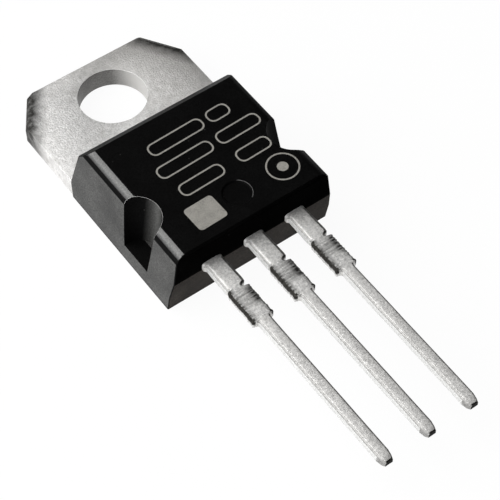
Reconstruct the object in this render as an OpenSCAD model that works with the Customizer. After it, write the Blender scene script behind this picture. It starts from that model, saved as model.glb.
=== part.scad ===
// Three-lead voltage regulator in a tab-mount plastic power package, lying on its metal back.
// Millimetres. The origin is the axis of the mounting hole at the mounting face.
// +Z is away from the mounting face, +Y runs to the free end of the tab and the leads run along -Y.

/* [Heat tab] */
// Width of the tab outside the moulding
tab_w = 9.9; // [9.2:0.1:10.6]
// Thickness of the tab plate
tab_t = 1.27; // [1.1:0.01:1.4]
// From the hole axis to the free end of the tab
tab_end = 2.75; // [2.4:0.05:3.4]
// Diameter of the mounting hole
hole_d = 3.82; // [3:0.02:4.2]
// Rolled edge of the hole on the punched side, the same out and down
hole_roll = 0.07; // [0.02:0.01:0.15]
// Width of each cut corner of the tab
corner_w = 1.15; // [0.4:0.05:1.8]
// Length of each cut corner of the tab
corner_l = 1.75; // [0.4:0.05:2.2]
// How far each side of the plate inside the moulding stands back from the tab's side
plate_in = 0.95; // [0.75:0.05:1.4]
// Lean of the plate's locking edges, in degrees
lock_angle = 14; // [5:1:25]
// Length of the plate inside the moulding
plate_l = 7.4; // [6.6:0.1:7.6]

/* [Moulding] */
// How far the moulding stands out past each side of the tab
body_over = 0.05; // [0.01:0.01:0.4]
// Length of the moulding, from its rear foot to its front
body_l = 9.35; // [9:0.05:10]
// Height of the moulding above the mounting face
body_h = 4.5; // [4.3:0.05:5]
// From the hole axis to the rear foot of the moulding
hole_to_body = 3.6; // [3.2:0.05:4.2]
// Lean of the side walls, in degrees
side_draft = 7.4; // [3:0.2:9]
// Lean of the rear wall, in degrees
rear_draft = 13.6; // [3:0.2:15]
// Lean of the front wall above the leads, in degrees
front_draft = 3; // [1:0.2:6]
// Lean of the front wall below the leads, in degrees
foot_draft = 10.6; // [3:0.2:13]
// Slope along the rear top edge, the same back and down
rear_slope = 0.75; // [0.3:0.05:1]
// Width of the bevel along each side of the top face
bevel_w = 0.42; // [0.2:0.02:0.6]
// Depth of that bevel
bevel_h = 0.26; // [0.1:0.02:0.4]
// Bevel along the front top edge
front_bevel = 0.14; // [0.05:0.01:0.3]
// Radius of the side notches at the top face
notch_r = 1.36; // [1:0.02:1.5]
// Lean of the notch walls, in degrees
notch_draft = 5.6; // [2:0.2:8]
// From the base side in to the axis of a notch
notch_in = 0.17; // [0:0.01:0.4]
// From the front of the moulding back to the axis of a notch
notch_back = 3.27; // [3:0.01:4]
// Diameter of the ejector mark in the top face
eject_d = 1.56; // [1:0.02:2]
// Depth of the ejector mark
eject_depth = 0.1; // [0.04:0.01:0.2]
// From the front of the moulding back to the ejector mark
eject_back = 1.62; // [1.4:0.01:2.4]
// Offset of the ejector mark from the middle
eject_side = 0.15; // [-0.4:0.01:0.4]

/* [Leads] */
// Distance between lead centres
lead_pitch = 2.54; // [2.4:0.01:2.7]
// Height of the underside of the leads above the mounting face
lead_z = 2.5; // [2.3:0.05:2.8]
// Thickness of the leads
lead_t = 0.5; // [0.4:0.02:0.7]
// Length of the leads outside the moulding
lead_l = 13.9; // [12:0.1:15]
// Width of the pins
lead_w = 0.65; // [0.5:0.01:0.9]
// Length of the wide root outside the moulding
root_l = 4.25; // [3.4:0.05:5]
// Width of the root
root_w = 1.06; // [0.9:0.02:1.3]
// Width over the ears where the root leaves the moulding
ear_w = 1.36; // [1.2:0.02:1.7]
// Length of the ears
ear_l = 0.24; // [0.1:0.02:0.5]
// Width over the sheared tie-bar stubs
stub_w = 1.22; // [1.1:0.02:1.6]
// Length of the sheared stubs
stub_l = 2.2; // [1.4:0.05:2.6]
// Radius of the relief nick at the start of a stub
nick_r = 0.13; // [0.06:0.01:0.2]
// Length of the pointed end of a pin
point_l = 0.6; // [0.3:0.05:1]
// Width of the end face of a pin
point_w = 0.4; // [0.2:0.02:0.45]
// Thickness of the end face of a pin
point_t = 0.3; // [0.16:0.02:0.38]

/* [Inside the moulding] */
// Width of the bond post at the inner end of each side lead
post_w = 2; // [1.4:0.05:2.2]
// Length of the bond post
post_l = 1.5; // [1:0.05:1.7]
// Offset of the bond post towards the middle
post_in = 0.12; // [0:0.01:0.3]
// From the front of the moulding back to the bond post
post_back = 0.75; // [0.5:0.05:0.9]
// Diameter of the moulding lock hole in the bond post
lock_d = 0.5; // [0.3:0.02:0.6]
// From the front edge of the bond post in to the middle of the lock hole
lock_in = 0.4; // [0.35:0.01:0.5]
// Width of the neck that joins the middle lead to the plate
neck_w = 1.6; // [1.36:0.02:2]
// Inner radius of the two bends in the neck
bend_r = 0.3; // [0.2:0.02:0.45]
// Slope of the neck between its bends, in degrees
bend_angle = 65; // [55:1:75]
// Width of the silicon die
die_w = 2.6; // [1.8:0.1:3]
// Length of the silicon die
die_l = 2.3; // [1.8:0.1:2.8]
// Thickness of the silicon die
die_t = 0.28; // [0.2:0.01:0.4]
// From the rear foot of the moulding to the middle of the die
die_back = 4; // [3:0.1:4.6]
// Thickness of the solder under the die
solder_t = 0.06; // [0.03:0.01:0.12]
// How far the solder shows round the die
solder_rim = 0.12; // [0.05:0.01:0.3]
// Diameter of the signal bond wire
thin_wire_d = 0.15; // [0.1:0.01:0.2]
// Diameter of the power bond wires
thick_wire_d = 0.3; // [0.2:0.01:0.38]
// Height of the bond wires' arch above the straight line between their feet
wire_rise = 0.9; // [0.7:0.05:1.1]
// From an edge of the die, a post or the plate in to a wire's foot
foot_in = 0.5; // [0.4:0.05:0.6]
// Distance between the two wires of the input lead
wire_gap = 0.6; // [0.5:0.05:0.8]
// Offset of the output wire from the middle
output_side = 0.35; // [0.2:0.05:0.4]

/* [Hidden] */
$fn = 64;

body_w = tab_w + 2 * body_over;
plate_w = tab_w - 2 * plate_in;
body_rear = -hole_to_body;
body_front = body_rear - body_l;
lead_top = lead_z + lead_t;
lead_tip = body_front - lead_l;
root_end = body_front - root_l;
stub_start = root_end + stub_l;
plate_front = body_rear - plate_l;
wall_rise = body_h - tab_t;
notch_x = body_w / 2 - notch_in;
notch_y = body_front + notch_back;
post_front = body_front + post_back;
post_rear = post_front + post_l;
post_x = lead_pitch - post_in;
die_y = body_rear - die_back;
die_base = tab_t + solder_t;
die_top = die_base + die_t;
// Room that a cut takes past the faces that it opens
over = 0.5;
// Straight steps in each bend of the neck
arc_steps = 10;

moulding_colour = [0.07, 0.07, 0.075];
tinned_colour = [0.74, 0.74, 0.72];
silicon_colour = [0.32, 0.36, 0.44];
solder_colour = [0.6, 0.6, 0.62];
aluminium_colour = [0.86, 0.87, 0.88];

// A length of material whose outline lies in the YZ plane, centred on x
module along_x(width, x = 0)
    translate([x - width / 2, 0, 0])
        rotate([90, 0, 90])
            linear_extrude(width) children();

// A length of material whose outline lies in the XZ plane, from one y down to a lower y
module along_y(from, to)
    translate([0, from, 0])
        rotate([90, 0, 0])
            linear_extrude(from - to) children();

// Outline of the moulding seen from the front: leaning sides with a bevel at the top
module front_view() {
    half = body_w / 2;
    bevel_z = body_h - bevel_h;
    shoulder = half - (bevel_z - tab_t) * tan(side_draft);
    polygon([[-half, 0], [half, 0], [half, tab_t], [shoulder, bevel_z], [shoulder - bevel_w, body_h],
             [bevel_w - shoulder, body_h], [-shoulder, bevel_z], [-half, tab_t]]);
}

// Outline of the moulding seen from the side: walls that lean away from the lead plane, and a rear slope
module side_view() {
    slope_z = body_h - rear_slope;
    slope_y = body_rear - (slope_z - tab_t) * tan(rear_draft);
    bevel_z = body_h - front_bevel;
    bevel_y = body_front + (bevel_z - lead_z) * tan(front_draft);
    polygon([[body_rear, 0], [body_rear, tab_t], [slope_y, slope_z], [slope_y - rear_slope, body_h],
             [bevel_y + front_bevel, body_h], [bevel_y, bevel_z], [body_front, lead_z],
             [body_front + lead_z * tan(foot_draft), 0]]);
}

// Half-round notch in one side wall, from the tab's upper face to the top, wider at the top
module notch(side)
    translate([side * notch_x, notch_y, tab_t])
        cylinder(h = wall_rise + over, r1 = notch_r - wall_rise * tan(notch_draft),
                 r2 = notch_r + over * tan(notch_draft));

// The moulding as one block, before it is hollowed to the pieces that it encloses
module moulding_block()
    difference() {
        intersection() {
            along_x(body_w + over) side_view();
            along_y(body_rear + over, body_front - over) front_view();
        }
        for (side = [-1, 1]) notch(side);
        translate([eject_side, body_front + eject_back, body_h - eject_depth])
            cylinder(h = eject_depth + over, d = eject_d);
    }

// Plan of the tab: a plate with two cut corners at its free end
module tab_plan()
    polygon([[-tab_w / 2, body_rear], [tab_w / 2, body_rear], [tab_w / 2, tab_end - corner_l],
             [tab_w / 2 - corner_w, tab_end], [corner_w - tab_w / 2, tab_end],
             [-tab_w / 2, tab_end - corner_l]]);

// The mounting hole, with a rolled edge at the tab's upper face
module tab_hole()
    rotate_extrude()
        polygon([[0, -over], [hole_d / 2, -over], [hole_d / 2, tab_t - hole_roll],
                 [hole_d / 2 + hole_roll, tab_t], [hole_d / 2 + hole_roll, tab_t + over], [0, tab_t + over]]);

// Section of the plate inside the moulding: narrower below, so that the moulding holds it
module plate_section() {
    half = plate_w / 2;
    foot = half - tab_t * tan(lock_angle);
    polygon([[-foot, 0], [foot, 0], [half, tab_t], [-half, tab_t]]);
}

// Points of an arc in the YZ plane about a centre, from angle a to angle b
function arc_points(centre, r, a, b) =
    [for (i = [0:arc_steps]) centre + r * [cos(a + (b - a) * i / arc_steps), sin(a + (b - a) * i / arc_steps)]];

// Side view of the neck, which rises from the front of the plate to the lead plane in two opposite bends
module neck_side() {
    mid_r = bend_r + lead_t / 2;
    outer_r = bend_r + lead_t;
    ramp = (lead_top - tab_t - 2 * mid_r * (1 - cos(bend_angle))) / sin(bend_angle);
    low = [plate_front, tab_t + bend_r];
    high = [plate_front - 2 * mid_r * sin(bend_angle) - ramp * cos(bend_angle), lead_z - bend_r];
    polygon(concat(arc_points(low, outer_r, 270, 270 - bend_angle), arc_points(high, bend_r, 90 - bend_angle, 90),
                   [[body_front, lead_z], [body_front, lead_top]],
                   arc_points(high, outer_r, 90, 90 - bend_angle), arc_points(low, bend_r, 270 - bend_angle, 270)));
}

// Plan of one lead outside the moulding: ears, root, sheared stubs, pin and point
module lead_plan() {
    difference() {
        union() {
            translate([-ear_w / 2, body_front - ear_l]) square([ear_w, ear_l]);
            translate([-root_w / 2, root_end]) square([root_w, root_l]);
            translate([-stub_w / 2, root_end]) square([stub_w, stub_l]);
        }
        for (side = [-1, 1]) translate([side * stub_w / 2, stub_start]) circle(nick_r, $fn = 24);
    }
    polygon([[-lead_w / 2, root_end], [-lead_w / 2, lead_tip + point_l], [-point_w / 2, lead_tip],
             [point_w / 2, lead_tip], [lead_w / 2, lead_tip + point_l], [lead_w / 2, root_end]]);
}

// Side view of one lead outside the moulding: a flat strip that is thinned at its point
module lead_side() {
    thinning = (lead_t - point_t) / 2;
    polygon([[body_front, lead_z], [body_front, lead_top], [lead_tip + point_l / 2, lead_top],
             [lead_tip, lead_top - thinning], [lead_tip, lead_z + thinning],
             [lead_tip + point_l / 2, lead_z]]);
}

// One lead outside the moulding, centred on x
module outer_lead(x)
    intersection() {
        translate([x, 0, lead_z - over]) linear_extrude(lead_t + 2 * over) lead_plan();
        along_x(stub_w + ear_w, x) lead_side();
    }

// The inner end of a side lead: a strip to a wide bond post with a lock hole
module bond_post(side)
    translate([side * post_x, 0, lead_z])
        difference() {
            union() {
                translate([side * post_in - root_w / 2, body_front, 0]) cube([root_w, post_back, lead_t]);
                translate([-post_w / 2, post_front, 0]) cube([post_w, post_l, lead_t]);
            }
            translate([0, post_front + lock_in, -over]) cylinder(h = lead_t + 2 * over, d = lock_d);
        }

module side_lead(side) {
    outer_lead(side * lead_pitch);
    bond_post(side);
}

// A bond wire: a round arc in an upright plane over two feet, with its ends run past both feet
module wire_arc(from, to, d) {
    run = norm([to.x - from.x, to.y - from.y]);
    climb = to.z - from.z;
    chord = norm([run, climb]);
    radius = (chord * chord / 4 + wire_rise * wire_rise) / (2 * wire_rise);
    sweep = 2 * asin(chord / 2 / radius);
    tail = d / radius * 180 / PI;
    tilt = atan2(climb, run);
    translate(from)
        rotate([0, 0, atan2(to.y - from.y, to.x - from.x)])
            rotate([90, 0, 0])
                rotate([0, 0, tilt])
                    translate([chord / 2, wire_rise - radius])
                        rotate([0, 0, 90 - sweep / 2 - tail])
                            rotate_extrude(angle = sweep + 2 * tail)
                                translate([radius, 0]) circle(d = d, $fn = 24);
}

module die_block(size_x, size_y, from, to)
    translate([-size_x / 2, die_y - size_y / 2, from]) cube([size_x, size_y, to - from]);

// Feet of the bond wires, on the die, on the posts and on the plate
die_front = die_y - die_l / 2;
adjust_foot = [foot_in - die_w / 2, die_front + foot_in, die_top];
adjust_end = [-post_x, post_rear - foot_in, lead_top];
input_foot = [die_w / 2 - foot_in, die_front + foot_in, die_top];
input_end = [post_x + wire_gap / 2, post_rear - foot_in, lead_top];
output_foot = [-output_side, die_y + foot_in, die_top];
output_end = [-output_side, plate_front + foot_in, tab_t];

// A wire trimmed flush with the faces that its feet are bonded to
module trimmed_wire(from, to, d)
    difference() {
        wire_arc(from, to, d);
        bonded_faces();
    }

// Everything below the bonding faces of the die, the posts and the plate
module bonded_faces() {
    die_block(die_w, die_l, tab_t, die_top);
    translate([-plate_w / 2, plate_front, 0]) cube([plate_w, plate_l, tab_t]);
    for (side = [-1, 1])
        translate([side * post_x - post_w / 2, post_front, lead_z]) cube([post_w, post_l, lead_t]);
}

module moulded_body()
    color(moulding_colour)
        difference() {
            moulding_block();
            heat_tab();
            adjust_lead();
            input_lead();
            die_solder();
            regulator_die();
            adjust_wire();
            input_wire_inner();
            input_wire_outer();
            output_wire();
        }

module heat_tab()
    color(tinned_colour) {
        difference() {
            linear_extrude(tab_t) tab_plan();
            tab_hole();
        }
        along_y(body_rear, plate_front) plate_section();
        along_x(neck_w) neck_side();
        outer_lead(0);
    }

module adjust_lead()
    color(tinned_colour) side_lead(-1);

module input_lead()
    color(tinned_colour) side_lead(1);

module die_solder()
    color(solder_colour) die_block(die_w + 2 * solder_rim, die_l + 2 * solder_rim, tab_t, die_base);

module regulator_die()
    color(silicon_colour) die_block(die_w, die_l, die_base, die_top);

module adjust_wire()
    color(aluminium_colour) trimmed_wire(adjust_foot, adjust_end, thin_wire_d);

module input_wire_inner()
    color(aluminium_colour)
        trimmed_wire(input_foot - [wire_gap, 0, 0], input_end - [wire_gap, 0, 0], thick_wire_d);

module input_wire_outer()
    color(aluminium_colour) trimmed_wire(input_foot, input_end, thick_wire_d);

module output_wire()
    color(aluminium_colour) trimmed_wire(output_foot, output_end, thick_wire_d);

moulded_body();
heat_tab();
adjust_lead();
input_lead();
die_solder();
regulator_die();
adjust_wire();
input_wire_inner();
input_wire_outer();
output_wire();
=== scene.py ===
import math
import random

import bpy
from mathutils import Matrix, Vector


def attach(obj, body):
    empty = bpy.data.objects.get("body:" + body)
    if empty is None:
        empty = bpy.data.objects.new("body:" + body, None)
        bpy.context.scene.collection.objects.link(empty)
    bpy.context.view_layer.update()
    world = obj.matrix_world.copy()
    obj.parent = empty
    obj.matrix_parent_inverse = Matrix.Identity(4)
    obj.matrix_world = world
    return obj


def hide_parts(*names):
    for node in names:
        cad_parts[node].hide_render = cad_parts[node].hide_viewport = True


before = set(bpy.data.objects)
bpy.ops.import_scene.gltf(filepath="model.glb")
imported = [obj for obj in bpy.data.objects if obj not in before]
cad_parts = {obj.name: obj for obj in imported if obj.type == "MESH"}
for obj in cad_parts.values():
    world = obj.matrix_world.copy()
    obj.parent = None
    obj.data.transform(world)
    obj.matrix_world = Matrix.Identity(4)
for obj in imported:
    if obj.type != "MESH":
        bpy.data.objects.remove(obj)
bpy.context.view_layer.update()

# Sizes are in millimetres, in the CAD's frame: the axis of the hole at the mounting face
mm = 0.001
deg = math.pi / 180
near = 0.01  # how far from a plane a point may lie and still count as on it
tiny = 0.001  # how much two ends of a level or upright edge may differ
facing = 0.9  # least part of a face's normal along a direction that the face is said to face
over = 1.0  # how far a cutter reaches past what it cuts


def metres(point):
    return [value * mm for value in point]


# Where the camera stands, found from corners of the object in the photo
view = {"azimuth": -36.067, "elevation": 54.418, "distance": 85.33, "lens": 122.7,
        "target": (-0.338, -13.079, 2.0)}


def placeCamera():
    turn, rise = view["azimuth"] * deg, view["elevation"] * deg
    back = Vector((math.sin(turn) * math.cos(rise), -math.cos(turn) * math.cos(rise), math.sin(rise)))
    data = bpy.data.cameras.new("camera")
    data.sensor_width = 36
    data.lens = view["lens"]
    data.clip_start = 0.002
    data.clip_end = 10
    camera = bpy.data.objects.new("camera", data)
    bpy.context.scene.collection.objects.link(camera)
    camera.location = (Vector(view["target"]) + back * view["distance"]) * mm
    camera.rotation_mode = "QUATERNION"
    camera.rotation_quaternion = (-back).to_track_quat("-Z", "Y")
    bpy.context.scene.camera = camera


placeCamera()
print("camera placed")

# Helpers for modelling by hand, in code


def toObjectMode():
    if bpy.context.mode != "OBJECT":
        bpy.ops.object.mode_set(mode="OBJECT")


def clearSelection():
    toObjectMode()
    bpy.ops.object.select_all(action="DESELECT")


def takeUp(piece):
    clearSelection()
    piece.select_set(True)
    bpy.context.view_layer.objects.active = piece


def named(name):
    piece = bpy.context.object
    piece.name = name
    takeUp(piece)
    bpy.ops.object.transform_apply(location=True, rotation=True, scale=True)
    return piece


def addBlock(name, low, high):
    clearSelection()
    bpy.ops.mesh.primitive_cube_add(size=1, location=metres([(a + b) / 2 for a, b in zip(low, high)]),
                                    scale=metres([b - a for a, b in zip(low, high)]))
    return named(name)


def addCone(name, foot, height, footRadius, topRadius, sides=72):
    clearSelection()
    bpy.ops.mesh.primitive_cone_add(vertices=sides, radius1=footRadius * mm, radius2=topRadius * mm,
                                    depth=height * mm,
                                    location=metres((foot[0], foot[1], foot[2] + height / 2)))
    return named(name)


# Selects the vertices, edges or faces that pass the test and leaves the piece in edit mode
def pick(piece, kind, test):
    takeUp(piece)
    bpy.ops.object.mode_set(mode="EDIT")
    bpy.ops.mesh.select_mode(type=kind)
    bpy.ops.mesh.select_all(action="DESELECT")
    bpy.ops.object.mode_set(mode="OBJECT")
    mesh = piece.data
    if kind == "VERT":
        for vertex in mesh.vertices:
            vertex.select = bool(test(vertex.co / mm))
    elif kind == "FACE":
        for face in mesh.polygons:
            face.select = bool(test(face.center / mm, face.normal))
    else:
        beside = {}
        for face in mesh.polygons:
            for key in face.edge_keys:
                beside.setdefault(key, []).append(face.normal.copy())
        for edge in mesh.edges:
            ends = [mesh.vertices[i].co / mm for i in edge.vertices]
            edge.select = bool(test(*ends, beside.get(tuple(sorted(edge.vertices)), [])))
    bpy.ops.object.mode_set(mode="EDIT")


# True if the faces on both sides of an edge turn by more than so many degrees
def sharp(normals, least=25):
    return len(normals) == 2 and normals[0].angle(normals[1], 0) > least * deg


def pickAll(piece, kind="FACE"):
    takeUp(piece)
    bpy.ops.object.mode_set(mode="EDIT")
    bpy.ops.mesh.select_mode(type=kind)
    bpy.ops.mesh.select_all(action="SELECT")


# Cuts away what lies in front of a plane and closes the cut
def trim(piece, point, normal):
    pickAll(piece)
    bpy.ops.mesh.bisect(plane_co=metres(point), plane_no=Vector(normal).normalized(),
                        use_fill=True, clear_outer=True)
    toObjectMode()


def roundEdges(piece, radius, steps, test):
    pick(piece, "EDGE", test)
    bpy.ops.mesh.bevel(offset=radius * mm, offset_type="OFFSET", segments=steps, profile=0.5, affect="EDGES",
                       clamp_overlap=True)
    toObjectMode()


def combine(piece, cutter, operation="DIFFERENCE"):
    takeUp(piece)
    step = piece.modifiers.new("cut", "BOOLEAN")
    step.operation = operation
    step.solver = "EXACT"
    step.object = cutter
    bpy.ops.object.modifier_apply(modifier=step.name)
    bpy.data.objects.remove(cutter)


def pushOut(shift):
    bpy.ops.mesh.extrude_region_move(TRANSFORM_OT_translate={"value": metres(shift)})


def joinPieces(name, pieces):
    clearSelection()
    for piece in pieces:
        piece.select_set(True)
    bpy.context.view_layer.objects.active = pieces[0]
    bpy.ops.object.join()
    pieces[0].name = name
    return pieces[0]


# Merges doubles, turns the faces outwards and shades the piece smooth across small angles
def finishMesh(piece, angle=35):
    pickAll(piece, "VERT")
    bpy.ops.mesh.remove_doubles(threshold=tiny / 2 * mm)
    bpy.ops.mesh.select_mode(type="FACE")
    bpy.ops.mesh.select_all(action="SELECT")
    bpy.ops.mesh.normals_make_consistent(inside=False)
    toObjectMode()
    takeUp(piece)
    bpy.ops.object.shade_smooth_by_angle(angle=angle * deg, keep_sharp_edges=False)


# Keeps wide flat faces evenly shaded up to their rounded edges
def evenShading(piece):
    takeUp(piece)
    step = piece.modifiers.new("even", "WEIGHTED_NORMAL")
    step.keep_sharp = True
    bpy.ops.object.modifier_apply(modifier=step.name)


# Helpers for shader nodes


def addNode(tree, kind, inputs=None, **settings):
    node = tree.nodes.new(kind)
    for key, value in settings.items():
        setattr(node, key, value)
    for key, value in (inputs or {}).items():
        if isinstance(value, bpy.types.NodeSocket):
            tree.links.new(value, node.inputs[key])
        else:
            node.inputs[key].default_value = value
    return node


def grey(value):
    return (value, value, value, 1)


# The place on the piece, in metres
def ownPlace(tree):
    return addNode(tree, "ShaderNodeTexCoord").outputs["Object"]


def maths(tree, operation, a, b=0.0, clamp=False):
    return addNode(tree, "ShaderNodeMath", {0: a, 1: b}, operation=operation, use_clamp=clamp).outputs[0]


def times(tree, a, b):
    return maths(tree, "MULTIPLY", a, b)


# 0 at the start and 1 at the end, which may be the lower one
def ramp(tree, value, start, end):
    inputs = {"Value": value, "From Min": start, "From Max": end}
    return addNode(tree, "ShaderNodeMapRange", inputs).outputs[0]


# Turns a value from 0 to 1 into one from low to high
def span(tree, value, low, high):
    inputs = {"Value": value, "To Min": low, "To Max": high}
    return addNode(tree, "ShaderNodeMapRange", inputs).outputs[0]


def mixColour(tree, factor, a, b):
    return addNode(tree, "ShaderNodeMix", {0: factor, 6: a, 7: b}, data_type="RGBA").outputs[2]


def bump(tree, height, distance, strength=1.0, under=None):
    inputs = {"Height": height, "Distance": distance * mm, "Strength": strength}
    if under:
        inputs["Normal"] = under
    return addNode(tree, "ShaderNodeBump", inputs).outputs["Normal"]


def newGroup(name, inputs, outputs):
    group = bpy.data.node_groups.new(name, "ShaderNodeTree")
    for label, value in inputs.items():
        socket = group.interface.new_socket(name=label, in_out="INPUT", socket_type="NodeSocketFloat")
        socket.default_value = value
    for label in outputs:
        group.interface.new_socket(name=label, in_out="OUTPUT", socket_type="NodeSocketFloat")
    return group, addNode(group, "NodeGroupInput").outputs, addNode(group, "NodeGroupOutput").inputs


# Fine grain: an even noise whose grains are so many millimetres wide
noiseLook = {"detail": 3.0, "maskLow": 0.35, "maskHigh": 0.65}


def buildGrainGroup():
    group, given, result = newGroup("fineGrain", {"Grain": 0.1, "Harshness": 0.6, "Stretch": 1.0},
                                    ["Height", "Mask"])
    stretch = addNode(group, "ShaderNodeCombineXYZ", {0: 1.0, 1: given["Stretch"], 2: 1.0}).outputs[0]
    place = addNode(group, "ShaderNodeVectorMath", {0: ownPlace(group), 1: stretch}, operation="MULTIPLY")
    noise = addNode(group, "ShaderNodeTexNoise",
                    {"Vector": place.outputs[0], "Scale": maths(group, "DIVIDE", 1 / mm, given["Grain"]),
                     "Detail": noiseLook["detail"], "Roughness": given["Harshness"]})
    height = noise.outputs["Fac"]
    group.links.new(height, result["Height"])
    group.links.new(ramp(group, height, noiseLook["maskLow"], noiseLook["maskHigh"]), result["Mask"])
    return group


# Sparse specks: small dots of dust or pits, so many millimetres apart
def buildSpeckGroup():
    group, given, result = newGroup("sparseSpecks", {"Spacing": 0.5, "Size": 0.12, "Share": 0.4}, ["Mask"])
    cells = addNode(group, "ShaderNodeTexVoronoi",
                    {"Vector": ownPlace(group), "Scale": maths(group, "DIVIDE", 1 / mm, given["Spacing"]),
                     "Randomness": 1.0})
    dots = ramp(group, cells.outputs["Distance"], given["Size"], 0.0)
    drawn = addNode(group, "ShaderNodeSeparateColor", {0: cells.outputs["Color"]}).outputs[0]
    chosen = maths(group, "LESS_THAN", drawn, given["Share"])
    group.links.new(times(group, dots, chosen), result["Mask"])
    return group


# A soft band: 1 from low to high, in millimetres along a direction, and fading inside both ends
def buildBandGroup():
    group, given, result = newGroup("placeBand", {"Low": 0.0, "High": 1.0, "Fade": 0.1,
                                                  "AlongX": 0.0, "AlongY": 0.0, "AlongZ": 1.0}, ["Mask"])
    axis = addNode(group, "ShaderNodeCombineXYZ",
                   {0: given["AlongX"], 1: given["AlongY"], 2: given["AlongZ"]}).outputs[0]
    along = addNode(group, "ShaderNodeVectorMath", {0: ownPlace(group), 1: axis}, operation="DOT_PRODUCT")
    along = times(group, along.outputs["Value"], 1 / mm)
    above = maths(group, "DIVIDE", maths(group, "SUBTRACT", along, given["Low"]), given["Fade"], True)
    below = maths(group, "DIVIDE", maths(group, "SUBTRACT", given["High"], along), given["Fade"], True)
    group.links.new(times(group, above, below), result["Mask"])
    return group


fineGrain = buildGrainGroup()
sparseSpecks = buildSpeckGroup()
placeBand = buildBandGroup()


def useGroup(tree, group, **values):
    return addNode(tree, "ShaderNodeGroup", values, node_tree=group).outputs


def useGrain(tree, grain, harshness, stretch=1.0):
    return useGroup(tree, fineGrain, Grain=grain, Harshness=harshness, Stretch=stretch)


def useBand(tree, low, high, fade, x=0.0, y=0.0, z=0.0):
    return useGroup(tree, placeBand, Low=low, High=high, Fade=fade, AlongX=x, AlongY=y, AlongZ=z)["Mask"]


def newMaterial(name, **constants):
    material = bpy.data.materials.new(name)
    material.use_nodes = True
    shader = material.node_tree.nodes["Principled BSDF"]
    for key, value in constants.items():
        shader.inputs[key.replace("_", " ")].default_value = value
    return material, material.node_tree, shader


# Links what changes over the surface to the shader
def dress(tree, shader, colour, roughness, normal):
    for label, value in (("Base Color", colour), ("Roughness", roughness), ("Normal", normal)):
        tree.links.new(value, shader.inputs[label])


# A finish of two tones in one grain
def buildPlain(name, look):
    material, tree, shader = newMaterial(name, Metallic=look["metallic"], Specular_IOR_Level=look["specular"])
    grain = useGrain(tree, look["grain"], look["harshness"])
    dress(tree, shader, mixColour(tree, grain["Mask"], *look["tones"]),
          span(tree, grain["Height"], *look["rough"]), bump(tree, grain["Height"], look["depth"]))
    return material


# The moulding's finish: each kind of face has two tones, and some have a band of another tone; the walls,
# bevels, foot, notches and the left notch's rounded top edge carry painted light and painted shade
epoxy = {"ior": 1.52, "grain": 0.07, "harshness": 0.65, "cloud": 1.6, "cloudHarshness": 0.5, "patchy": 0.5,
         "dust": (0.12, 0.12, 0.115, 1), "dustShade": 0.35, "dustSpacing": 0.55, "dustSize": 0.09,
         "dustShare": 0.25}
epoxyLooks = {
    "top": {"tones": (grey(0.001), grey(0.004)), "rough": (0.38, 0.52), "specular": 0.03, "depth": 0.006},
    # wall: paler than the top as painted sheen of the lamps on the side walls, and near black along their
    # foot as painted shade
    "wall": {"tones": (grey(0.006), (0.085, 0.085, 0.082, 1)), "rough": (0.50, 0.66), "specular": 0.34,
             "depth": 0.022, "patchAndPaintedLight": grey(0.001),
             "band": {"low": -1.0, "high": 0.2, "fade": 0.08, "z": 1.0}},
    # bevel: the left bevel strips, with a pale band along them as a painted highlight
    "bevel": {"tones": (grey(0.004), grey(0.02)), "rough": (0.36, 0.52), "specular": 0.25, "depth": 0.010,
              "patchAndPaintedLight": (0.17, 0.17, 0.166, 1), "band": {"low": 4.33, "high": 4.9, "fade": 0.09, "z": 1.0}},
    "front": {"tones": (grey(0.001), grey(0.004)), "rough": (0.5, 0.6), "specular": 0.0, "depth": 0.005},
    # foot: the front face below the leads, paler and browner than the upper front as painted reflection of
    # the floor
    "foot": {"tones": ((0.010, 0.008, 0.007, 1), (0.062, 0.054, 0.046, 1)), "rough": (0.5, 0.62),
             "specular": 0.03, "depth": 0.012},
    # notch: the middle of the notch walls, about their axes, carries a pale band of painted light
    "notch": {"tones": (grey(0.001), grey(0.004)), "rough": (0.5, 0.66), "specular": 0.02, "depth": 0.012,
              "patchAndPaintedLight": (0.10, 0.10, 0.097, 1),
              "band": {"low": -10.45, "high": -8.92, "fade": 0.85, "y": 1.0}},
    # highlightRim: the rounded top edge of the left notch, pale as a painted highlight
    "highlightRim": {"tones": ((0.30, 0.30, 0.295, 1), (0.7, 0.7, 0.69, 1)), "rough": (0.3, 0.5), "specular": 0.5,
            "depth": 0.004}}


# Black moulding epoxy with a fine cloudy grain and a little dust, and in some looks a band of painted light
# and painted shade
def buildEpoxy(name, look):
    material, tree, shader = newMaterial(name, IOR=epoxy["ior"], Specular_IOR_Level=look["specular"])
    grain = useGrain(tree, epoxy["grain"], epoxy["harshness"])
    cloud = useGrain(tree, epoxy["cloud"], epoxy["cloudHarshness"])
    dust = useGroup(tree, sparseSpecks, Spacing=epoxy["dustSpacing"], Size=epoxy["dustSize"],
                    Share=epoxy["dustShare"])
    share = times(tree, grain["Mask"], span(tree, cloud["Mask"], epoxy["patchy"], 1.0))
    colour = mixColour(tree, share, *look["tones"])
    # The band of another tone is painted light and shade: a painted highlight on the bevels, painted light in
    # the notches, painted shade at the foot of the walls
    if "patchAndPaintedLight" in look:
        share = times(tree, useBand(tree, **look["band"]), span(tree, grain["Mask"], epoxy["patchy"], 1.0))
        colour = mixColour(tree, share, colour, look["patchAndPaintedLight"])
    colour = mixColour(tree, times(tree, dust["Mask"], epoxy["dustShade"]), colour, epoxy["dust"])
    dress(tree, shader, colour, span(tree, grain["Height"], *look["rough"]),
          bump(tree, grain["Height"], look["depth"]))
    return material


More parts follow.
